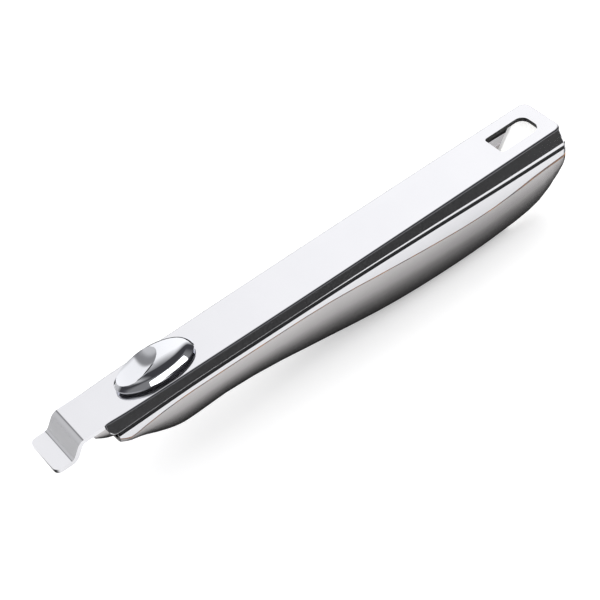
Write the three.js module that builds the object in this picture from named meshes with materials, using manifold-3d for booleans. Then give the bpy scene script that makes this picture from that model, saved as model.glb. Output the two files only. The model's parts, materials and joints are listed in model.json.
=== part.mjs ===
// Detachable stainless-steel cookware handle: a pressed top channel whose front tongue hooks into the
// pan's bracket, a hull-shaped belly below it, and a spring-loaded thumb slide that locks the hook.
//
// Millimetres. Inside the handle group X runs from the hook tab to the rear end, Y to the left side
// and Z up, with Z = 0 on the flat top face. The group is then moved so that the origin is at the
// bottom centre of the whole handle.
import * as THREE from "three";
import { mergeVertices } from "three/addons/utils/BufferGeometryUtils.js";
import Module from "manifold-3d";

const wasm = await Module();
wasm.setup();

// ---------------------------------------------------------------- driving dimensions
const REAR_X = 191; // rear edge of the flat top
const CORNER_RADIUS = 2.6; // rear corners, in plan
const SHEET = 1.5; // sheet thickness of the channel and its tongue
const SHELL = 1.2; // sheet thickness of the side frame and the belly
const FIT = 0.1; // gap between fixed neighbours
const REAR_OUT = 1.3; // how far the turned-down rear edge reaches past the flat top
const JOINT_GAP = 1.6; // height of the dark joint between channel and side frame
const FLARE_START = 17.6; // the channel's side walls grow out of the tongue from here ...
const FLARE_END = 20.2; // ... and have their full height from here
const FRAME_FRONT = 20.3; // front end of the side frame and the belly
const BELLY_POWER = 2.6; // exponent of the belly's cross-section curve

const TONGUE_HALF_WIDTH = 7.4;
const STEP_TOP_X = 9.7; // bend between the tongue and the step
const STEP_FOOT_X = 6.4; // bend between the step and the tab
const STEP_BEND = 1.5; // size of both bends
const TAB_DROP = 5.1;
const TAB_CORNER = 2;

const HOLE = { front: 169.8, rear: 186.1, halfWidth: 4.33, frontRadius: 1, rearRadius: 3 };
const SLOT = { front: 34.6, rear: 52.6, halfWidth: 2.4 };

// half width of the flat top, and how far the turned-down side edges reach past it: [x, distance]
const flatHalfWidth = smoothCurve([
  [17, 7.4], [26, 7.9], [50, 8.3], [85, 8.65], [118, 8.75], [155, 8.75], [193, 8.6],
]);
const slopeOut = smoothCurve([
  [20, 1.2], [26, 1.05], [50, 1.05], [100, 1.15], [133, 1.48], [164, 1.6], [193, 1.5],
]);

// heights below the flat top, along the handle: [x, depth]
const lipDepth = smoothCurve([
  [20, 4.35], [48, 3.1], [66, 3.05], [97, 3.25], [133, 4.1], [164, 5.5], [193, 6.7],
]);
const lipHeight = smoothCurve([[85, 0.08], [100, 0.3], [133, 0.7], [193, 1.25]]);
const shoulderDepth = (x) => lipDepth(x) - lipHeight(x);
const creaseDepth = smoothCurve([
  [20, 6.6], [23.4, 8.7], [29, 7.9], [36, 6.9], [46, 6.3], [80, 6.4], [97, 7.1], [120, 9.7],
  [145, 12.2], [158, 12.7], [168, 12.1], [178, 11], [193, 10.4],
]);
const bellyDepth = smoothCurve([
  [20, 10.4], [26, 13.9], [33, 19], [41, 22.4], [55, 21.8], [70, 23], [90, 26.8],
  [118, 31.7], [145, 33.3], [168, 32.5], [180, 30.6], [186, 26], [190.5, 18.8], [193, 11.2],
]);
const noseDepth = smoothCurve([[14.2, 4.8], [16, 7.2], [18.2, 9.2], [20.2, 10.3]]);
const seamGap = smoothCurve([[20, 0.1], [163, 0.1], [172, 0.5], [193, 0.6]]);

// ---------------------------------------------------------------- materials
const metal = (color, roughness) => new THREE.MeshStandardMaterial({ color, roughness, metalness: 1 });
const plastic = (color, roughness) => new THREE.MeshStandardMaterial({ color, roughness, metalness: 0 });
const polishedSteel = () => metal(0xe6e6ea, 0.12);
const satinSteel = () => metal(0xb9b7b8, 0.28);
const chrome = () => metal(0xf2f3f6, 0.05);
const plainSteel = () => metal(0x9c9ea2, 0.4);
const springSteel = () => metal(0x84868a, 0.35);
const blackSilicone = () => plastic(0x0c0c0d, 0.7);
const paleNylon = () => plastic(0xf1f1ee, 0.5);
const greyNylon = () => plastic(0x5b5d60, 0.6);

// ---------------------------------------------------------------- curves
// A smooth function of x through the given [x, value] points, level beyond both ends.
function smoothCurve(points) {
  const slope = points.map((point, i) => {
    if (i === 0 || i === points.length - 1) return 0;
    return (points[i + 1][1] - points[i - 1][1]) / (points[i + 1][0] - points[i - 1][0]);
  });
  slope[0] = (points[1][1] - points[0][1]) / (points[1][0] - points[0][0]);
  const last = points.length - 1;
  slope[last] = (points[last][1] - points[last - 1][1]) / (points[last][0] - points[last - 1][0]);
  return (x) => {
    if (x <= points[0][0]) return points[0][1];
    if (x >= points[last][0]) return points[last][1];
    const i = points.findIndex((point) => point[0] > x) - 1;
    const width = points[i + 1][0] - points[i][0];
    const t = (x - points[i][0]) / width;
    const blend = t * t * (3 - 2 * t);
    const bendIn = (t - 2 * t * t + t * t * t) * width * slope[i];
    const bendOut = (t * t * t - t * t) * width * slope[i + 1];
    return points[i][1] * (1 - blend) + points[i + 1][1] * blend + bendIn + bendOut;
  };
}

// 0 where the side walls start at the tongue, 1 where they have their full height.
function flare(x) {
  const t = THREE.MathUtils.clamp((x - FLARE_START) / (FLARE_END - FLARE_START), 0, 1);
  return Math.sqrt(1 - (1 - t) ** 2);
}

// Half width, in plan, of an outline around the flat top. "reach" is how far its sides lie out, as a
// share of slopeOut, "inset" then takes it in all round, and "rear" is the x of its rear edge.
function halfWidth(x, { reach, inset, rear }) {
  const straight = flatHalfWidth(x) + (reach * slopeOut(x) - inset) * flare(x);
  const intoCorner = (x - (rear - CORNER_RADIUS)) / CORNER_RADIUS;
  if (intoCorner <= 0) return straight;
  return straight - CORNER_RADIUS * (1 - Math.sqrt(Math.max(0, 1 - intoCorner ** 2)));
}
const outside = { reach: 1, inset: 0, rear: REAR_X + REAR_OUT };
const insideBy = (inset) => ({ reach: 1, inset, rear: outside.rear - inset });

// X stations along one side: close together in the flare and the front of the belly, then wide apart
// and closer again towards the rear, then round the rear corner.
const FLARE_STEP = 0.65;
const FRONT_STEP = 1.6;
const MIDDLE_START = 44;
const MIDDLE_STEPS = 20;
const CORNER_STEPS = 8;
function stationsFrom(front, rear) {
  const stations = [];
  for (let x = front; x < FLARE_END; x += FLARE_STEP) stations.push(x);
  for (let x = Math.max(front, FLARE_END); x < MIDDLE_START; x += FRONT_STEP) stations.push(x);
  for (let i = 0; i <= MIDDLE_STEPS; i++) {
    const eased = 1 - (1 - i / MIDDLE_STEPS) ** 1.5;
    stations.push(THREE.MathUtils.lerp(MIDDLE_START + FRONT_STEP, rear - CORNER_RADIUS, eased));
  }
  for (let i = 1; i <= CORNER_STEPS; i++) {
    const angle = ((Math.PI / 2) * i) / CORNER_STEPS;
    stations.push(rear - CORNER_RADIUS * (1 - Math.sin(angle)));
  }
  return stations;
}

// ---------------------------------------------------------------- solids
function solidFrom(geometry) {
  geometry.deleteAttribute("normal");
  geometry.deleteAttribute("uv");
  const merged = mergeVertices(geometry, 1e-4);
  const index = merged.index.array;
  const kept = [];
  for (let i = 0; i < index.length; i += 3) {
    const [a, b, c] = index.slice(i, i + 3);
    if (a !== b && b !== c && c !== a) kept.push(a, b, c);
  }
  const vertProperties = new Float32Array(merged.attributes.position.array);
  return new wasm.Manifold(new wasm.Mesh({ numProp: 3, vertProperties, triVerts: new Uint32Array(kept) }));
}

function geometryFrom(solid) {
  const mesh = solid.getMesh();
  const geometry = new THREE.BufferGeometry();
  geometry.setAttribute("position", new THREE.BufferAttribute(mesh.vertProperties, 3));
  geometry.setIndex(new THREE.BufferAttribute(mesh.triVerts, 1));
  return geometry;
}

// A closed solid through rings of [x, y, z] points. Every ring is symmetric: its first half runs
// along the right side and its second half comes back along the left side.
function loft(rings) {
  const count = rings[0].length;
  const index = [];
  for (let ring = 0; ring + 1 < rings.length; ring++) {
    for (let i = 0; i < count; i++) {
      const here = ring * count + i;
      const next = ring * count + ((i + 1) % count);
      index.push(here, next, next + count, here, next + count, here + count);
    }
  }
  const end = (rings.length - 1) * count;
  for (let right = 0; right < (count - 1) / 2; right++) {
    const left = count - 1 - right;
    index.push(right + 1, right, left, right + 1, left, left - 1);
    index.push(end + right, end + right + 1, end + left - 1, end + right, end + left - 1, end + left);
  }
  const geometry = new THREE.BufferGeometry();
  geometry.setAttribute("position", new THREE.Float32BufferAttribute(rings.flat(2), 3));
  geometry.setIndex(signedVolume(rings.flat(), index) < 0 ? index.reverse() : index);
  return solidFrom(geometry);
}

function signedVolume(points, index) {
  let volume = 0;
  for (let i = 0; i < index.length; i += 3) {
    const [a, b, c] = index.slice(i, i + 3).map((corner) => new THREE.Vector3(...points[corner]));
    volume += a.dot(b.cross(c));
  }
  return volume;
}

// A flat shape in the XY plane, stretched from z = low to z = high.
function prism(shape, low, high) {
  const settings = { depth: high - low, bevelEnabled: false, curveSegments: 6 };
  return solidFrom(new THREE.ExtrudeGeometry(shape, settings).translate(0, 0, low));
}

// A flat shape drawn as (x, z), stretched across the handle from y = -halfWidth to y = halfWidth.
function sidePrism(shape, halfWidthY) {
  const settings = { depth: 2 * halfWidthY, bevelEnabled: false, curveSegments: 6 };
  const geometry = new THREE.ExtrudeGeometry(shape, settings);
  return solidFrom(geometry.translate(0, 0, -halfWidthY).rotateX(Math.PI / 2));
}

function box(lowX, highX, lowY, highY, lowZ, highZ) {
  const geometry = new THREE.BoxGeometry(highX - lowX, highY - lowY, highZ - lowZ);
  return solidFrom(geometry.translate((lowX + highX) / 2, (lowY + highY) / 2, (lowZ + highZ) / 2));
}

// A turned solid about a vertical axis at (x, 0): profile points are [radius, z].
function turned(profile, x, segments = 28) {
  const points = profile.map(([radius, z]) => new THREE.Vector2(radius, z));
  return solidFrom(new THREE.LatheGeometry(points, segments).rotateX(Math.PI / 2).translate(x, 0, 0));
}

// A turned solid about an axis along X at height z: profile points are [radius, x].
function turnedAlongX(profile, z, segments = 24) {
  const points = profile.map(([radius, x]) => new THREE.Vector2(radius, x));
  const geometry = new THREE.LatheGeometry(points, segments).rotateZ(-Math.PI / 2);
  return solidFrom(geometry.translate(0, 0, z));
}

function roundedRectangle(front, rear, half, frontRadius, rearRadius) {
  const shape = new THREE.Shape();
  const quarter = Math.PI / 2;
  shape.absarc(rear - rearRadius, half - rearRadius, rearRadius, 0, quarter);
  shape.absarc(front + frontRadius, half - frontRadius, frontRadius, quarter, 2 * quarter);
  shape.absarc(front + frontRadius, frontRadius - half, frontRadius, 2 * quarter, 3 * quarter);
  shape.absarc(rear - rearRadius, rearRadius - half, rearRadius, 3 * quarter, 4 * quarter);
  return shape;
}

// The outline of a sheet strip of the given thickness, bent along a path of [u, v] corners.
function bentStrip(corners, bendRadius, thickness) {
  const path = new THREE.CurvePath();
  let from = new THREE.Vector2(...corners[0]);
  for (let i = 1; i < corners.length; i++) {
    const corner = new THREE.Vector2(...corners[i]);
    if (i === corners.length - 1) {
      path.add(new THREE.LineCurve(from, corner));
      break;
    }
    const next = new THREE.Vector2(...corners[i + 1]);
    const before = corner.clone().add(from.clone().sub(corner).setLength(bendRadius));
    const after = corner.clone().add(next.sub(corner).setLength(bendRadius));
    path.add(new THREE.LineCurve(from, before));
    path.add(new THREE.QuadraticBezierCurve(before, corner, after));
    from = after;
  }
  const left = [];
  const right = [];
  for (const curve of path.curves) {
    const steps = curve instanceof THREE.LineCurve ? 1 : 6;
    for (let i = 0; i <= steps; i++) {
      const point = curve.getPoint(i / steps);
      const tangent = curve.getTangent(i / steps);
      const side = new THREE.Vector2(-tangent.y, tangent.x).multiplyScalar(thickness / 2);
      left.push(point.clone().add(side));
      right.push(point.clone().sub(side));
    }
  }
  return new THREE.Shape([...left, ...right.reverse()]);
}

// ---------------------------------------------------------------- top channel
// A ring round the handle in plan, open stations at the front closed straight across.
function planRing(front, outline, heightAt) {
  const stations = stationsFrom(front, outline.rear);
  const right = stations.map((x) => [x, -halfWidth(x, outline), heightAt(x)]);
  const left = right.map(([x, y, z]) => [x, -y, z]).reverse();
  return [...right, ...left];
}

// The rings of the rounded bend between the flat top and its turned-down edges.
const BEND_RADIUS = 0.6;
const BEND_STEPS = 8;
const BEND_REACH = 0.15; // share of slopeOut that the bend itself takes up
function roundedEdge() {
  const rings = [];
  for (let i = 0; i <= BEND_STEPS; i++) {
    const t = i / BEND_STEPS;
    const inset = BEND_RADIUS * (1 - t) ** 2;
    const reach = BEND_REACH * t ** 2;
    const outline = { reach, inset, rear: REAR_X + reach * REAR_OUT - inset };
    rings.push(planRing(FLARE_START, outline, (x) => -BEND_RADIUS * t ** 2 * flare(x)));
  }
  return rings;
}

function channelWalls() {
  const lipEnd = (x) => -(SHEET + (lipDepth(x) - SHEET) * flare(x));
  const outer = loft([
    ...roundedEdge(),
    planRing(FLARE_START, outside, (x) => -shoulderDepth(x) * flare(x)),
    planRing(FLARE_START, outside, lipEnd),
  ]);
  const cavityTop = { reach: 0, inset: 0.3, rear: REAR_X - 0.3 };
  const cavity = loft([
    planRing(FLARE_START - 1, cavityTop, () => -SHEET),
    planRing(FLARE_START - 1, insideBy(SHEET), (x) => -shoulderDepth(x) - 0.5),
    planRing(FLARE_START - 1, insideBy(SHEET), (x) => -lipDepth(x) - 2),
  ]);
  return outer.subtract(cavity);
}

function tongue() {
  const middle = -SHEET / 2;
  const low = middle - TAB_DROP;
  const path = [[FLARE_START + 0.4, middle], [STEP_TOP_X, middle], [STEP_FOOT_X, low], [0, low]];
  const strip = sidePrism(bentStrip(path, STEP_BEND, SHEET), TONGUE_HALF_WIDTH);
  const outline = roundedRectangle(0, FLARE_END + 20, TONGUE_HALF_WIDTH, TAB_CORNER, 1);
  return strip.intersect(prism(outline, -TAB_DROP - 2 * SHEET, 1));
}

function topChannel() {
  const hole = roundedRectangle(HOLE.front, HOLE.rear, HOLE.halfWidth, HOLE.frontRadius, HOLE.rearRadius);
  const slotEnd = SLOT.halfWidth - 0.01;
  const slot = roundedRectangle(SLOT.front, SLOT.rear, SLOT.halfWidth, slotEnd, slotEnd);
  return channelWalls().add(tongue()).subtract(prism(hole, -4, 2)).subtract(prism(slot, -4, 2));
}

// ---------------------------------------------------------------- joint seal and side frame
// A band open at the front, between two depths into the handle's side and two heights.
function hollowBand(front, outerInset, innerInset, topAt, bottomAt) {
  const outer = loft([
    planRing(front, insideBy(outerInset), topAt),
    planRing(front, insideBy(outerInset), bottomAt),
  ]);
  const inner = loft([
    planRing(front - 2, insideBy(innerInset), (x) => topAt(x) + 1),
    planRing(front - 2, insideBy(innerInset), (x) => bottomAt(x) - 1),
  ]);
  return outer.subtract(inner);
}

const JOINT_RECESS = 0.15;
const SEAL_CLEARANCE = 0.05;
function jointSeal() {
  const top = (x) => -lipDepth(x) - SEAL_CLEARANCE;
  const bottom = (x) => -lipDepth(x) - JOINT_GAP + SEAL_CLEARANCE;
  return hollowBand(FRAME_FRONT + 0.4, JOINT_RECESS, SHEET, top, bottom);
}

function sideFrame() {
  const top = (x) => -lipDepth(x) - JOINT_GAP;
  return hollowBand(FRAME_FRONT, 0, SHELL, top, (x) => -creaseDepth(x));
}

// ---------------------------------------------------------------- belly
// One cross-section: down from the top to the crease, then a superellipse quarter to the bottom.
const SECTION_STEPS = 9;
function bellySection(x, half, top, crease, depth, chamfer = 0) {
  const right = [[x, -half + chamfer, -top]];
  for (let i = 0; i <= SECTION_STEPS; i++) {
    const angle = ((Math.PI / 2) * i) / SECTION_STEPS;
    const across = Math.max(0, Math.cos(angle)) ** (2 / BELLY_POWER);
    const down = Math.sin(angle) ** (2 / BELLY_POWER);
    right.push([x, -half * across, -(crease + (depth - crease) * down)]);
  }
  const left = right.slice(0, -1).map(([sectionX, y, z]) => [sectionX, -y, z]).reverse();
  return [...right, ...left];
}

const BELLY_CHAMFER = 0.3;
function bellySolid(front, inset, topLift, chamfer = 0) {
  const outline = insideBy(inset);
  const stations = stationsFrom(FRAME_FRONT, outline.rear).filter((x) => x > FRAME_FRONT);
  const sections = [front, ...stations].map((x) => {
    const shallower = Math.min(bellyDepth(x + inset), bellyDepth(x - inset));
    const top = creaseDepth(x) + seamGap(x);
    const crease = top + chamfer;
    const depth = Math.max(shallower - inset, crease + 0.4);
    return bellySection(x, halfWidth(x, outline), top - topLift, crease, depth, chamfer);
  });
  return loft(sections);
}

const screwPlaces = [
  { name: "front", x: 104 },
  { name: "rear", x: 150 },
];
const HEAD_RECESS = 0.3;
const SCREW_RADIUS = 2;
const HEAD_RADIUS = 3.7;
const HEAD_DEPTH = 1.9;

// The countersunk space for one belly screw, from outside the belly up into the standoff.
function screwSpace(x, clearance, length) {
  const face = -bellyDepth(x) + HEAD_RECESS;
  const head = HEAD_RADIUS + clearance;
  const shaft = SCREW_RADIUS + clearance;
  return turned([
    [0, face - 3], [head, face - 3], [head, face], [shaft, face + HEAD_DEPTH], [shaft, face + length],
    [0, face + length],
  ], x);
}

const SCREW_LENGTH = 12;
const STANDOFF_RADIUS = 4;
function bellyShell() {
  const hole = roundedRectangle(HOLE.front, HOLE.rear, HOLE.halfWidth, HOLE.frontRadius, HOLE.rearRadius);
  let shell = bellySolid(FRAME_FRONT, 0, 0, BELLY_CHAMFER).subtract(bellySolid(FRAME_FRONT - 1, SHELL, 3));
  shell = shell.subtract(prism(hole, -50, -15));
  for (const { x } of screwPlaces) shell = shell.subtract(screwSpace(x, FIT, SCREW_LENGTH + 1));
  return shell;
}

function standoff(x) {
  const top = -SHEET - FIT;
  const foot = -bellyDepth(x);
  const post = turned([[0, foot], [STANDOFF_RADIUS, foot], [STANDOFF_RADIUS, top], [0, top]], x, 24);
  const inside = bellySolid(FRAME_FRONT, SHELL + FIT, 20);
  return post.intersect(inside).subtract(screwSpace(x, FIT, SCREW_LENGTH + 1));
}

function bellyScrew(x) {
  const face = -bellyDepth(x) + HEAD_RECESS;
  const tip = face + SCREW_LENGTH;
  const body = turned([
    [0, face], [HEAD_RADIUS, face], [SCREW_RADIUS, face + HEAD_DEPTH], [SCREW_RADIUS, tip - 1],
    [SCREW_RADIUS - 0.8, tip], [0, tip],
  ], x);
  return body.subtract(hexSocket(x, face - 1, face + 1.3, 1.25));
}

function hexSocket(x, low, high, radius) {
  const socket = new THREE.CylinderGeometry(radius, radius, high - low, 6);
  return solidFrom(socket.rotateX(Math.PI / 2).translate(x, 0, (low + high) / 2));
}

// ---------------------------------------------------------------- nose guide
const BOLT = { front: 11.8, halfWidth: 3.5, top: -SHEET - 0.2, bottom: -4.4 };
const NOSE_HALF_WIDTH = 7.05;
function noseGuide() {
  const top = SHEET + 2 * FIT;
  const stations = [14.2, 15, 16, 17, 18.2, 19.2, 20.2];
  const nose = loft(stations.map((x) => bellySection(x, NOSE_HALF_WIDTH, top, top + 0.6, noseDepth(x))));
  const tail = box(20, 24.5, -5.6, 5.6, -6.4, -top);
  const way = box(10, 30, -BOLT.halfWidth - 0.3, BOLT.halfWidth + 0.3, BOLT.bottom - 0.3, 0);
  return nose.add(tail).subtract(way);
}

// ---------------------------------------------------------------- thumb slide
const BUTTON = {
  x: 40, halfLength: 13.3, halfWidth: 6.7, base: 0.9, wallTop: 1.7, coneTop: 3.4, domeEdge: 4.6, top: 5.2,
};
const SCOOP = { x: 31.5, y: 2.3, z: 14.6, radius: 12.2, stretch: 1.6, turn: 0.3 };
const SHANK = { x: 40.4, halfLength: 4.6, halfWidth: 2.1 };

// A pebble: a low oval wall, a steep sloping side, a rounded shoulder and a low dome. The profile is
// drawn for a radius of 1 and then stretched to the oval.
function buttonBody() {
  const side = new THREE.QuadraticBezierCurve(
    new THREE.Vector2(1, BUTTON.wallTop),
    new THREE.Vector2(0.95, 2.45),
    new THREE.Vector2(0.87, BUTTON.coneTop),
  );
  const shoulder = new THREE.QuadraticBezierCurve(
    side.v2, new THREE.Vector2(0.79, 4.3), new THREE.Vector2(0.6, BUTTON.domeEdge),
  );
  const dome = new THREE.QuadraticBezierCurve(
    shoulder.v2, new THREE.Vector2(0.3, BUTTON.top), new THREE.Vector2(0, BUTTON.top),
  );
  const profile = [
    new THREE.Vector2(0, BUTTON.base),
    new THREE.Vector2(0.98, BUTTON.base),
    new THREE.Vector2(1, BUTTON.base + 0.25),
    ...side.getPoints(3), ...shoulder.getPoints(5).slice(1), ...dome.getPoints(5).slice(1),
  ];
  const unit = new THREE.LatheGeometry(profile, 48).rotateX(Math.PI / 2);
  return solidFrom(unit.scale(BUTTON.halfLength, BUTTON.halfWidth, 1).translate(BUTTON.x, 0, 0));
}

function thumbButton() {
  const scoop = new THREE.SphereGeometry(SCOOP.radius, 40, 28).scale(SCOOP.stretch, 1, 1);
  const hollow = solidFrom(scoop.rotateZ(SCOOP.turn).translate(SCOOP.x, SCOOP.y, SCOOP.z));
  const shankFront = SHANK.x - SHANK.halfLength;
  const shankRear = SHANK.x + SHANK.halfLength;
  const shankEnd = SHANK.halfWidth - 0.1;
  const shankShape = roundedRectangle(shankFront, shankRear, SHANK.halfWidth, shankEnd, shankEnd);
  const shank = prism(shankShape, BOLT.top + 0.05, BUTTON.base + 0.5);
  const screwHole = turned([[0, -3], [1.55, -3], [1.55, 2.2], [0, 2.2]], SHANK.x, 20);
  return buttonBody().subtract(hollow).add(shank).subtract(screwHole);
}

function ovalShape(halfLength, halfWidthY) {
  const shape = new THREE.Shape();
  shape.absellipse(BUTTON.x, 0, halfLength, halfWidthY, 0, 2 * Math.PI);
  return shape;
}

function slideWasher() {
  const washer = new THREE.ExtrudeGeometry(ovalShape(BUTTON.halfLength - 0.9, BUTTON.halfWidth - 0.9), {
    depth: 0.7, bevelEnabled: false, curveSegments: 32,
  });
  const halfLength = SHANK.halfLength + FIT;
  const halfWidthY = SHANK.halfWidth + FIT;
  const opening = box(SHANK.x - halfLength, SHANK.x + halfLength, -halfWidthY, halfWidthY, -1, 2);
  return solidFrom(washer.translate(0, 0, 0.1)).subtract(opening);
}

const ROD_Z = -6;
const BLOCK = { front: 56.6, rear: 70, bottom: -8.8 };
function lockingBolt() {
  const bar = box(BOLT.front, BLOCK.rear, -BOLT.halfWidth, BOLT.halfWidth, BOLT.bottom, BOLT.top);
  const block = box(BLOCK.front, BLOCK.rear, -BOLT.halfWidth, BOLT.halfWidth, BLOCK.bottom, BOLT.top);
  const wedge = new THREE.Shape([
    new THREE.Vector2(BOLT.front - 1, BOLT.bottom - 1),
    new THREE.Vector2(BOLT.front + 2.4, BOLT.bottom - 1),
    new THREE.Vector2(BOLT.front - 1, BOLT.bottom + 1.8),
  ]);
  const rodBore = turnedAlongX([[0, 58.4], [1.6, 58.4], [1.6, BLOCK.rear + 1], [0, BLOCK.rear + 1]], ROD_Z);
  const screwHole = turned([[0, -9], [1.6, -9], [1.6, 1], [0, 1]], SHANK.x, 20);
  return bar.add(block).subtract(sidePrism(wedge, 10)).subtract(rodBore).subtract(screwHole);
}

const WASHER_THICKNESS = 0.5;
function buttonWasher() {
  const top = BOLT.bottom - 0.02;
  const low = top - WASHER_THICKNESS;
  return turned([[1.65, low], [3, low], [3, top], [1.65, top], [1.65, low]], SHANK.x, 24);
}

function buttonScrew() {
  const seat = BOLT.bottom - WASHER_THICKNESS - 0.04;
  const body = turned([
    [0, seat - 1.8], [2.3, seat - 1.8], [2.75, seat - 1.3], [2.75, seat], [1.45, seat], [1.45, 1.6],
    [1.1, 2], [0, 2],
  ], SHANK.x, 24);
  return body.subtract(hexSocket(SHANK.x, seat - 3, seat - 0.7, 1.15));
}

// ---------------------------------------------------------------- spring and its guides
function boltBridge() {
  const strapZ = BOLT.bottom - 0.65;
  const footZ = -SHEET - FIT - 0.4;
  const legY = BOLT.halfWidth + 0.8;
  const path = [[-7, footZ], [-legY, footZ], [-legY, strapZ], [legY, strapZ], [legY, footZ], [7, footZ]];
  const shape = bentStrip(path, 0.6, 0.8);
  const geometry = new THREE.ExtrudeGeometry(shape, { depth: 4.8, bevelEnabled: false });
  return solidFrom(geometry.rotateX(Math.PI / 2).rotateZ(Math.PI / 2).translate(51.4, 0, 0));
}

const STOP_X = 92;
function springStop() {
  const footZ = -SHEET - FIT - 0.5;
  const shape = bentStrip([[STOP_X + 8, footZ], [STOP_X + 0.5, footZ], [STOP_X + 0.5, -9.8]], 0.8, 1);
  const rodHole = turnedAlongX([[0, STOP_X - 2], [1.55, STOP_X - 2], [1.55, STOP_X + 3], [0, STOP_X + 3]], ROD_Z);
  return sidePrism(shape, 5).subtract(rodHole);
}

function springRod() {
  const front = 65.8;
  const collar = { front: STOP_X - 1.4, rear: STOP_X - 0.05 };
  const groove = { front: STOP_X + 1.2, rear: STOP_X + 2 };
  const rear = STOP_X + 3.2;
  return turnedAlongX([
    [0, front], [1, front], [1.4, front + 0.5], [1.4, collar.front], [2, collar.front], [2, collar.rear],
    [1.4, collar.rear], [1.4, groove.front], [1.05, groove.front], [1.05, groove.rear], [1.4, groove.rear],
    [1.4, rear], [0, rear],
  ], ROD_Z, 20);
}

function rodClip() {
  const shape = new THREE.Shape();
  shape.absarc(0, 0, 2.7, 0.5, 2 * Math.PI - 0.5);
  shape.absarc(0, 0, 1.15, 2 * Math.PI - 0.5, 0.5, true);
  const geometry = new THREE.ExtrudeGeometry(shape, { depth: 0.6, bevelEnabled: false, curveSegments: 16 });
  return solidFrom(geometry.rotateY(Math.PI / 2).translate(STOP_X + 1.3, 0, ROD_Z));
}

const SEAT_THICKNESS = 0.6;
function springSeat() {
  const front = BLOCK.rear + 0.05;
  const rear = front + SEAT_THICKNESS;
  return turnedAlongX([[1.6, front], [3.3, front], [3.3, rear], [1.6, rear], [1.6, front]], ROD_Z);
}

const SPRING = { meanRadius: 2.7, wire: 0.35, turns: 9, front: BLOCK.rear + 1.1, rear: STOP_X - 0.45 };
class Helix extends THREE.Curve {
  getPoint(t, target = new THREE.Vector3()) {
    const angle = 2 * Math.PI * SPRING.turns * t;
    const x = THREE.MathUtils.lerp(SPRING.front, SPRING.rear, t);
    return target.set(x, SPRING.meanRadius * Math.cos(angle), ROD_Z + SPRING.meanRadius * Math.sin(angle));
  }
}

function returnSpring() {
  const wire = new THREE.Shape();
  wire.absarc(0, 0, SPRING.wire, 0, 2 * Math.PI);
  const settings = { steps: SPRING.turns * 12, extrudePath: new Helix(), curveSegments: 3, bevelEnabled: false };
  return solidFrom(new THREE.ExtrudeGeometry(wire, settings));
}

// ---------------------------------------------------------------- lining of the hanging hole
const BUSH_WALL = 1.1;
const BUSH_TOP = -SHEET - FIT;
function eyeBush() {
  const gap = 0.15;
  const outer = roundedRectangle(
    HOLE.front - gap - BUSH_WALL, HOLE.rear + gap + 0.9, HOLE.halfWidth + gap + BUSH_WALL,
    HOLE.frontRadius + gap + BUSH_WALL, HOLE.rearRadius + gap + 0.9,
  );
  const inner = roundedRectangle(
    HOLE.front - gap, HOLE.rear + gap, HOLE.halfWidth + gap, HOLE.frontRadius + gap, HOLE.rearRadius + gap,
  );
  const sleeve = prism(outer, -40, BUSH_TOP).subtract(prism(inner, -45, 1));
  const inside = box(150, 200, -10, 10, -12, 0).add(bellySolid(FRAME_FRONT, SHELL + 0.3, 3));
  // the front upper corner is cut off along a slant, so the steel wall shows beside it
  const slant = new THREE.Shape([
    new THREE.Vector2(182.5, -SHEET + 1),
    new THREE.Vector2(165, -25),
    new THREE.Vector2(160, -25),
    new THREE.Vector2(160, -SHEET + 1),
  ]);
  return sleeve.intersect(inside).subtract(sidePrism(slant, 12));
}

// ---------------------------------------------------------------- assembly
const handle = new THREE.Group();

function addPiece(name, solid, material) {
  const mesh = new THREE.Mesh(geometryFrom(solid), material);
  mesh.name = name;
  handle.add(mesh);
}

addPiece("top_channel", topChannel(), polishedSteel());
addPiece("joint_seal", jointSeal(), blackSilicone());
addPiece("side_frame", sideFrame(), polishedSteel());
addPiece("belly_shell", bellyShell(), satinSteel());
addPiece("nose_guide", noseGuide(), satinSteel());
addPiece("thumb_button", thumbButton(), chrome());
addPiece("slide_washer", slideWasher(), greyNylon());
addPiece("locking_bolt", lockingBolt(), plainSteel());
addPiece("button_washer", buttonWasher(), plainSteel());
addPiece("button_screw", buttonScrew(), plainSteel());
addPiece("bolt_bridge", boltBridge(), plainSteel());
addPiece("spring_stop", springStop(), plainSteel());
addPiece("spring_rod", springRod(), plainSteel());
addPiece("rod_clip", rodClip(), springSteel());
addPiece("spring_seat", springSeat(), plainSteel());
addPiece("return_spring", returnSpring(), springSteel());
addPiece("eye_bush", eyeBush(), paleNylon());
for (const { name, x } of screwPlaces) {
  addPiece(`${name}_standoff`, standoff(x), plainSteel());
  addPiece(`${name}_screw`, bellyScrew(x), plainSteel());
}

handle.position.set(-outside.rear / 2, 0, bellyDepth(145));

export default handle;
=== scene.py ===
import json
import math

import bmesh
import bpy
from mathutils import Matrix, Quaternion, Vector


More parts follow.
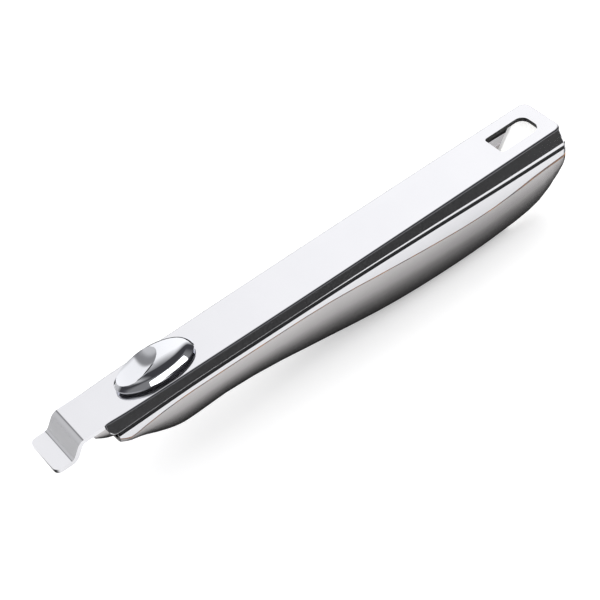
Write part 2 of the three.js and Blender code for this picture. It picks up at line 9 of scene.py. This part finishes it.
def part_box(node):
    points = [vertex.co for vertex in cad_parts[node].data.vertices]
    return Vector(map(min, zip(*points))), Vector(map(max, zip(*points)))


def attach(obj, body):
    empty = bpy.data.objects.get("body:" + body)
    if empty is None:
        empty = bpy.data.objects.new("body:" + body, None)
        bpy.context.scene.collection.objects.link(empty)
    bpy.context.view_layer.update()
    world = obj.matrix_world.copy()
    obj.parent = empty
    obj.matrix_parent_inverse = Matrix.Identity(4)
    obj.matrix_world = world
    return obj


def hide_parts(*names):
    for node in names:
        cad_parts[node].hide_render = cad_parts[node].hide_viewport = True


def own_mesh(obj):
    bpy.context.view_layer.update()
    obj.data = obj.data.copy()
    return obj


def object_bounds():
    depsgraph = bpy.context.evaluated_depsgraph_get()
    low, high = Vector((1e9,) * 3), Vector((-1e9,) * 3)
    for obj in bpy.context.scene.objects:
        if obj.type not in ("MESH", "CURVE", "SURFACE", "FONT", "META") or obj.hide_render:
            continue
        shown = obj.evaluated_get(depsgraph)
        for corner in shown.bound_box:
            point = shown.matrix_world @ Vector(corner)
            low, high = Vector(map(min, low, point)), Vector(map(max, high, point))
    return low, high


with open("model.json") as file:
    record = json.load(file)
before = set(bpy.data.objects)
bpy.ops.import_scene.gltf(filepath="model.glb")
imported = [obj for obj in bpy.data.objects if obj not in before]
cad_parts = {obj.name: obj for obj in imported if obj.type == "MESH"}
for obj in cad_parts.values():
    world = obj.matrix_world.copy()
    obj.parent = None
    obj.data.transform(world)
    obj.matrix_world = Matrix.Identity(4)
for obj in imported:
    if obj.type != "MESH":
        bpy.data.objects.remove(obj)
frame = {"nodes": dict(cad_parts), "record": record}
cad_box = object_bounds()
hole_low, hole_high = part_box("eye_bush")  # the bush lines the hanging hole

MM = 0.001
WELD = 1e-6  # corners closer than this, in metres, are one corner
FLAT = math.radians(0.05)  # faces that meet at less than this are one flat face
CREASE = math.radians(16)  # edges sharper than this stay edges
SHALLOW_CREASE = math.radians(11)  # the same on the top channel, whose lip turns only a little
ROUNDED = math.radians(40)  # edges sharper than this are rounded as well


# ---------------------------------------------------------------- node material helpers
def new_material(name):
    """A node material with its Principled shader, ready to be wired."""
    material = bpy.data.materials.new(name)
    material.use_nodes = True
    nodes = material.node_tree.nodes
    shader = nodes["Principled BSDF"]
    return material, nodes, material.node_tree.links, shader


def position_of(nodes, links, stretch=(1, 1, 1)):
    """The object's own coordinates in millimetres, stretched for grain that runs along one axis."""
    coordinates = nodes.new("ShaderNodeTexCoord")
    mapping = nodes.new("ShaderNodeMapping")
    mapping.inputs["Scale"].default_value = [factor / MM for factor in stretch]
    links.new(coordinates.outputs["Object"], mapping.inputs["Vector"])
    return mapping.outputs["Vector"]


def noise(nodes, links, vector, scale, detail=3.0, roughness=0.55):
    """A smooth random value at each place, mostly between 0.3 and 0.7."""
    texture = nodes.new("ShaderNodeTexNoise")
    texture.inputs["Scale"].default_value = scale
    texture.inputs["Detail"].default_value = detail
    texture.inputs["Roughness"].default_value = roughness
    links.new(vector, texture.inputs["Vector"])
    return texture.outputs["Fac"]


def remap(nodes, links, value, low, high, from_low=0.3, from_high=0.7):
    """Low where the value is from_low, high where it is from_high, straight between and level past them."""
    node = nodes.new("ShaderNodeMapRange")
    node.inputs["From Min"].default_value = from_low
    node.inputs["From Max"].default_value = from_high
    node.inputs["To Min"].default_value = low
    node.inputs["To Max"].default_value = high
    links.new(value, node.inputs["Value"])
    return node.outputs["Result"]


def stepped(nodes, links, value, points):
    """A smooth curve through (value, amount) points, which starts at 0 and ends at the last point."""
    reach = points[-1][0]
    curve = nodes.new("ShaderNodeFloatCurve")
    line = curve.mapping.curves[0]
    line.points[0].location = (0, points[0][1])
    line.points[1].location = (1, points[-1][1])
    for position, amount in points[:-1]:
        line.points.new(position / reach, amount)
    curve.mapping.update()
    links.new(remap(nodes, links, value, 0, 1, 0, reach), curve.inputs["Value"])
    return curve.outputs["Value"]


def calculated(nodes, links, operation, first, second=None):
    """The result of a maths node that works on one or two values."""
    node = nodes.new("ShaderNodeMath")
    node.operation = operation
    links.new(first, node.inputs[0])
    if second is not None:
        links.new(second, node.inputs[1])
    return node.outputs[0]


def colour_between(nodes, links, value, first, second):
    """The first colour where the value is 0, the second where it is 1, and a blend between."""
    ramp = nodes.new("ShaderNodeValToRGB")
    ramp.color_ramp.elements[0].color = (*first, 1)
    ramp.color_ramp.elements[1].color = (*second, 1)
    links.new(value, ramp.inputs["Fac"])
    return ramp.outputs["Color"]


def bump(nodes, links, shader, height, distance, strength):
    """Makes the surface look raised by up to the distance, in metres, where the height value is high."""
    node = nodes.new("ShaderNodeBump")
    node.inputs["Distance"].default_value = distance
    node.inputs["Strength"].default_value = strength
    links.new(height, node.inputs["Height"])
    links.new(node.outputs["Normal"], shader.inputs["Normal"])


# ---------------------------------------------------------------- materials
def polished_metal(name, dark, light, rough, grain_mm):
    """Polished metal: faint cloudiness and fine polishing lines along the handle."""
    material, nodes, links, shader = new_material(name)
    shader.inputs["Metallic"].default_value = 1
    cloud = noise(nodes, links, position_of(nodes, links), scale=0.05)
    links.new(colour_between(nodes, links, cloud, dark, light), shader.inputs["Base Color"])
    along = position_of(nodes, links, stretch=(0.06, 1, 1))
    lines = noise(nodes, links, along, scale=3.0, detail=4.0)
    links.new(remap(nodes, links, lines, *rough), shader.inputs["Roughness"])
    bump(nodes, links, shader, lines, distance=grain_mm * MM, strength=0.25)
    return material


def heat_tint(name):
    """Steel coloured by welding heat: grey and copper patches that take turns along the handle."""
    material, nodes, links, shader = new_material(name)
    shader.inputs["Metallic"].default_value = 0.4
    shader.inputs["Roughness"].default_value = 0.25
    along = position_of(nodes, links, stretch=(1, 0, 0))
    patches = noise(nodes, links, along, scale=0.09, detail=4.0, roughness=0.7)
    tint = colour_between(nodes, links, patches, (0.34, 0.32, 0.33), (0.80, 0.42, 0.22))
    grey, copper = tint.node.color_ramp.elements
    grey.position = 0.42
    copper.position = 0.60
    links.new(tint, shader.inputs["Base Color"])
    return material


def plastic(name, dark, light, rough, glow=0):
    """Moulded plastic or rubber: slight mottling and a fine matt texture. Any glow is painted light, a
    self-lit surface on a part that is no lamp.
    """
    material, nodes, links, shader = new_material(name)
    shader.inputs["Emission Color"].default_value = (1, 1, 1, 1)
    shader.inputs["Emission Strength"].default_value = glow
    mottle = noise(nodes, links, position_of(nodes, links), scale=0.4)
    links.new(colour_between(nodes, links, mottle, dark, light), shader.inputs["Base Color"])
    shader.inputs["Specular IOR Level"].default_value = 0.25
    texture = noise(nodes, links, position_of(nodes, links), scale=4.0, detail=2.0)
    links.new(remap(nodes, links, texture, *rough), shader.inputs["Roughness"])
    bump(nodes, links, shader, texture, distance=0.01 * MM, strength=0.4)
    return material


def matt(name, glow=0):
    """A matt stage material without highlights, whose colour its user sets."""
    material, nodes, links, shader = new_material(name)
    shader.inputs["Specular IOR Level"].default_value = 0
    shader.inputs["Emission Color"].default_value = (1, 1, 1, 1)
    shader.inputs["Emission Strength"].default_value = glow
    return material, nodes, links, shader


# by material slot, with the hanging hole's wall added, painted near-black as shade
MATERIALS = {
    "polished_steel": polished_metal(
        "steel_mirror", (0.84, 0.84, 0.87), (0.90, 0.90, 0.92), rough=(0.05, 0.11), grain_mm=0.0005
    ),
    "satin_steel": polished_metal(
        "steel_satin", (0.60, 0.58, 0.58), (0.70, 0.68, 0.68), rough=(0.14, 0.22), grain_mm=0.002
    ),
    "chrome": polished_metal(
        "chrome_plate", (0.88, 0.89, 0.93), (0.93, 0.94, 0.97), rough=(0.03, 0.07), grain_mm=0.001
    ),
    "plain_steel": polished_metal(
        "steel_plain", (0.45, 0.46, 0.47), (0.60, 0.61, 0.62), rough=(0.28, 0.42), grain_mm=0.01
    ),
    # painted shade: the hole's wall, rough as a cut edge, coloured near-black for the shade inside the hole
    "hole_shade_steel": polished_metal(
        "steel_hole_painted_shade", (0.03, 0.03, 0.03), (0.06, 0.06, 0.06), rough=(0.45, 0.60), grain_mm=0.01
    ),
    "spring_steel": polished_metal(
        "steel_spring", (0.33, 0.34, 0.36), (0.46, 0.47, 0.49), rough=(0.25, 0.40), grain_mm=0.01
    ),
    "black_silicone": plastic(
        "silicone_black", (0.006, 0.006, 0.007), (0.018, 0.018, 0.02), rough=(0.5, 0.75)
    ),
    # painted light: the bush glows so that the inside of the hanging hole looks brightly lit
    "pale_nylon": plastic(
        "nylon_pale", (0.88, 0.88, 0.87), (0.93, 0.93, 0.92), rough=(0.35, 0.5), glow=0.35
    ),
    "grey_nylon": plastic(
        "nylon_grey", (0.08, 0.08, 0.09), (0.13, 0.13, 0.14), rough=(0.4, 0.6)
    ),
}


# ---------------------------------------------------------------- pieces
# how widely the edges of a piece are rounded, so that they catch the light
EDGE_MM = {
    "top_channel": 0.3,
    "side_frame": 0.15,
    "belly_shell": 0.1,
    "thumb_button": 0.12,
    "nose_guide": 0.3,
    "eye_bush": 0.15,
}
FINE_EDGE_MM = 0.08  # on every other piece
UPRIGHT = 0.5  # a face whose normal's Z is nearer 0 than this stands upright
TINTED_SLOPE = (0.4, 0.9)  # the normal's Z on the belly's upper chamfer lies between these


def body_of(node):
    """The body of the record that carries the CAD node."""
    bodies = frame["record"]["behaviour"]["bodies"]
    return next(body for body, nodes in bodies.items() if node in nodes)


def slot_of(node):
    """The material slot that the record gives the CAD node."""
    subparts = frame["record"]["subparts"]
    return next(part["material_slot"] for part in subparts if part["node"] == node)


def welded(node):
    """The CAD node's surface as one connected mesh, with its flat faces joined."""
    source = frame["nodes"][node].data
    mesh = bpy.data.meshes.new(node + "_fine")
    corners = [vertex.co for vertex in source.vertices]
    mesh.from_pydata(corners, [], [list(face.vertices) for face in source.polygons])
    form = bmesh.new()
    form.from_mesh(mesh)
    bmesh.ops.remove_doubles(form, verts=form.verts, dist=WELD)
    bmesh.ops.dissolve_limit(form, angle_limit=FLAT, verts=form.verts, edges=form.edges)
    for face in form.faces:
        face.smooth = True
    crease = SHALLOW_CREASE if node == "top_channel" else CREASE
    for edge in form.edges:
        edge.smooth = edge.calc_face_angle(0) < crease
    form.to_mesh(mesh)
    form.free()
    return mesh


def finished(node):
    """Shows a smooth copy of a CAD node with softly rounded edges, in its slot's material."""
    piece = bpy.data.objects.new(node + "_fine", welded(node))
    bpy.context.scene.collection.objects.link(piece)
    piece.data.materials.append(MATERIALS[slot_of(node)])
    rounding = piece.modifiers.new("rounded_edges", "BEVEL")
    rounding.width = EDGE_MM.get(node, FINE_EDGE_MM) * MM
    rounding.segments = 3
    rounding.limit_method = "ANGLE"
    rounding.angle_limit = ROUNDED
    rounding.harden_normals = True
    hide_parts(node)
    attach(piece, body_of(node))
    return piece


def press_spring(spring):
    """Gives the return spring its own copy of its mesh."""
    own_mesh(spring)


def recolour(piece, material, is_chosen):
    """Gives the chosen faces of a piece a second material."""
    piece.data.materials.append(material)
    for face in piece.data.polygons:
        if is_chosen(face):
            face.material_index = 1


def on_hole_wall(face):
    """Whether a face of the top channel is on the wall of the hanging hole."""
    x, y, _ = face.center
    in_hole = hole_low.x < x < hole_high.x and hole_low.y < y < hole_high.y
    return in_hole and abs(face.normal.z) < UPRIGHT


def on_upper_chamfer(face):
    """Whether a face of the belly is on the chamfer along its upper edge."""
    low, high = TINTED_SLOPE
    return low < face.normal.z < high


def make_pieces():
    """Every CAD node's finished piece, by the node's name."""
    pieces = {node: finished(node) for node in frame["nodes"]}
    press_spring(pieces["return_spring"])
    # the wall of the hanging hole is rough like a sheared edge and painted near-black as the shade inside
    # the hole
    recolour(pieces["top_channel"], MATERIALS["hole_shade_steel"], on_hole_wall)
    recolour(pieces["belly_shell"], heat_tint("steel_heat_tint"), on_upper_chamfer)
    return pieces


# ---------------------------------------------------------------- floor and reflected cards, in metres
FLOOR_HALF = 4.0
FLOOR_GLOW = 0.35  # the paper shines a little by itself, so that it comes out nearly white
CARD_CLEARANCE = 0.001  # upright cards stand this far above the floor
CARD_LIFT = 0.0004  # the card under the handle lies this far above the floor
CARD_PAST = 0.03  # and reaches this far past the handle's ends
# how dark that card, a painted shadow of the handle that the belly mirrors, is at a distance from the
# handle's centre line
UNDER_SHADOW_DARKNESS = [
    (0.005, 0.97), (0.013, 0.86), (0.021, 0.55), (0.032, 0.25), (0.060, 0.18), (0.12, 0.0),
]
SIDE_CARD_DISTANCE = 0.07  # of the two long cards from the handle's centre line
SIDE_CARD_HALF = 0.4
SIDE_CARD_TOP = 0.037
HOOK_CARD_PAST = 0.1  # how far past the hook the short card stands
HOOK_CARD_WIDTH = 0.3
HOOK_CARD_TOP = 0.06


def sheet(name, corners, material):
    """A flat stage piece with four corners."""
    mesh = bpy.data.meshes.new(name)
    mesh.from_pydata(corners, [], [(0, 1, 2, 3)])
    mesh.materials.append(material)
    piece = bpy.data.objects.new(name, mesh)
    bpy.context.scene.collection.objects.link(piece)
    return piece


def lying(low_x, high_x, half_y, z):
    """The corners of a level rectangle, as far to one side of the X axis as to the other."""
    return [(low_x, -half_y, z), (high_x, -half_y, z), (high_x, half_y, z), (low_x, half_y, z)]


def standing(start, end, top):
    """The corners of an upright rectangle between two (x, y) places, just clear of the floor."""
    return [(*start, CARD_CLEARANCE), (*end, CARD_CLEARANCE), (*end, top), (*start, top)]


def make_floor():
    """A wide sheet of pale paper."""
    material, nodes, links, shader = matt("paper", FLOOR_GLOW)
    paper = noise(nodes, links, position_of(nodes, links), scale=0.02)
    colour = colour_between(nodes, links, paper, (0.90, 0.90, 0.90), (0.92, 0.92, 0.92))
    links.new(colour, shader.inputs["Base Color"])
    shader.inputs["Roughness"].default_value = 0.9
    sheet("floor", lying(-FLOOR_HALF, FLOOR_HALF, FLOOR_HALF, 0), material)


def make_card(name, corners, shade, darkness=None):
    """A studio card that only reflections see, faded away from the X axis where darkness says how."""
    material, nodes, links, shader = matt(name)
    shader.inputs["Base Color"].default_value = (shade, shade, shade, 1)
    shader.inputs["Roughness"].default_value = 1
    # a fading card is painted shadow: darkest along the handle's centre line, fading out to the sides
    if darkness:
        split = nodes.new("ShaderNodeSeparateXYZ")
        links.new(nodes.new("ShaderNodeTexCoord").outputs["Object"], split.inputs["Vector"])
        distance = calculated(nodes, links, "ABSOLUTE", split.outputs["Y"])
        links.new(stepped(nodes, links, distance, darkness), shader.inputs["Alpha"])
    card = sheet(name, corners, material)
    card.visible_camera = False
    card.visible_diffuse = False
    card.visible_shadow = False


def make_cards():
    """What the metal mirrors: a dark card beneath that paints the handle's shadow, one along each side and
    a grey one past the hook.
    """
    low, high = cad_box
    # painted shadow: a near-black card under the handle that only the metal's reflections see
    under = lying(low.x - CARD_PAST, high.x + CARD_PAST, UNDER_SHADOW_DARKNESS[-1][0], CARD_LIFT)
    make_card("painted_shadow_under", under, 0.01, UNDER_SHADOW_DARKNESS)
    near_y, far_y = -SIDE_CARD_DISTANCE, SIDE_CARD_DISTANCE
    near = standing((-SIDE_CARD_HALF, near_y), (SIDE_CARD_HALF, near_y), SIDE_CARD_TOP)
    make_card("card_near", near, 0.05)
    far = standing((low.x, far_y), (SIDE_CARD_HALF, far_y), SIDE_CARD_TOP)
    make_card("card_far", far, 0.05)
    hook_x = low.x - HOOK_CARD_PAST
    hook = standing((hook_x, 0), (hook_x, HOOK_CARD_WIDTH), HOOK_CARD_TOP)
    make_card("card_hook", hook, 0.5)


# ---------------------------------------------------------------- the room that the metal mirrors
# Brightness runs from 0 to 1. A direction's X, Y and Z run from -1 to 1, and a pair of them says where
# a brightness starts and stops changing.
WALL_Y = (0.1, 0.45)  # the bright wall behind the handle comes in
# the wall's brightness by direction along the handle: 0 is past the hook, 1 past the rear
WALL_BRIGHTNESS = [
    (0, 0.4), (0.36, 0.5), (0.43, 0.2), (0.46, 0.2), (0.50, 0.85), (0.60, 0.88), (0.75, 1.0), (1.0, 1.0),
]
WINDOW_BRIGHTNESS = 0.45
WINDOW_X = (-0.3, 0.0)  # the window past the hook goes out
WINDOW_Z = (0.5, 0.8)  # and comes in
NEAR_WALL_BRIGHTNESS = 0.15
NEAR_WALL_Y = (-0.5, -0.2)  # the low wall on the near side goes out
NEAR_WALL_Z = (0.34, 0.44)  # and goes out at its top as well
ROOM_DARK = (0.05, 0.05, 0.055)
ROOM_BRIGHT = (1.08, 1.08, 1.09)


def make_world():
    """A studio room: a bright wall behind with a dark post, a grey window past the hook, a low grey wall
    on the near side and darkness elsewhere. Seen directly, it is a plain pale backdrop."""
    world = bpy.data.worlds.new("studio")
    world.use_nodes = True
    bpy.context.scene.world = world
    nodes, links = world.node_tree.nodes, world.node_tree.links
    split = nodes.new("ShaderNodeSeparateXYZ")
    links.new(nodes.new("ShaderNodeTexCoord").outputs["Generated"], split.inputs["Vector"])
    x, y, z = split.outputs
    behind = remap(nodes, links, y, 0, 1, *WALL_Y)
    from_hook = remap(nodes, links, x, 0, 1, -1, 1)
    wall = calculated(nodes, links, "MULTIPLY", behind, stepped(nodes, links, from_hook, WALL_BRIGHTNESS))
    past_hook = remap(nodes, links, x, WINDOW_BRIGHTNESS, 0, *WINDOW_X)
    overhead = remap(nodes, links, z, 0, 1, *WINDOW_Z)
    window = calculated(nodes, links, "MULTIPLY", past_hook, overhead)
    near_side = remap(nodes, links, y, NEAR_WALL_BRIGHTNESS, 0, *NEAR_WALL_Y)
    low_down = remap(nodes, links, z, 1, 0, *NEAR_WALL_Z)
    near_wall = calculated(nodes, links, "MULTIPLY", near_side, low_down)
    backdrop = nodes.new("ShaderNodeLightPath").outputs["Is Camera Ray"]
    brightness = wall
    for other in (window, near_wall, backdrop):
        brightness = calculated(nodes, links, "MAXIMUM", brightness, other)
    colour = colour_between(nodes, links, brightness, ROOM_DARK, ROOM_BRIGHT)
    links.new(colour, nodes["Background"].inputs["Color"])


# ---------------------------------------------------------------- lamps and camera
# the photograph's viewpoint: the camera's place, the point in the middle of its view and its roll
CAMERA_PLACE_MM = (-167.04, -289.85, 372.37)
CAMERA_AIM_MM = (-3.90, 2.47, 20.0)
CAMERA_ROLL = math.radians(-11.57)
SENSOR_MM = 36
LENS_MM = 96


def aimed(name, content, place, aim, roll=0):
    """A lamp or camera at a place, turned to its aim with its top up and then rolled."""
    holder = bpy.data.objects.new(name, content)
    turn = (aim - place).to_track_quat("-Z", "Y") @ Quaternion((0, 0, 1), roll)
    holder.matrix_world = Matrix.LocRotScale(place, turn, None)
    bpy.context.scene.collection.objects.link(holder)
    return holder


def make_lamp(name, place, size, watts):
    """A rectangular lamp that faces the handle; size is its width and height."""
    lamp = bpy.data.lights.new(name, "AREA")
    lamp.shape = "RECTANGLE"
    lamp.size, lamp.size_y = size
    lamp.energy = watts
    return aimed(name, lamp, Vector(place), Vector())


def make_lamps(button):
    """A wide soft ceiling that the metal doesn't mirror, and a low strip that lights only the button."""
    ceiling = make_lamp("ceiling", place=(0, -0.2, 1.5), size=(3.6, 3.6), watts=48)
    ceiling.visible_glossy = False
    strip = make_lamp("strip", place=(0.35, -0.95, 0.17), size=(1.2, 0.26), watts=2.5)
    lit = bpy.data.collections.new("lit_by_strip")
    lit.objects.link(button)
    strip.light_linking.receiver_collection = lit


def make_camera():
    """The camera that takes the photograph's view."""
    camera = bpy.data.cameras.new("camera")
    camera.sensor_width = SENSOR_MM
    camera.lens = LENS_MM
    camera.clip_start = 0.01
    place, aim = Vector(CAMERA_PLACE_MM) * MM, Vector(CAMERA_AIM_MM) * MM
    bpy.context.scene.camera = aimed("camera", camera, place, aim, CAMERA_ROLL)


pieces = make_pieces()
make_floor()
make_cards()
make_world()
make_lamps(pieces["thumb_button"])
make_camera()
bpy.context.scene.view_settings.view_transform = "Standard"
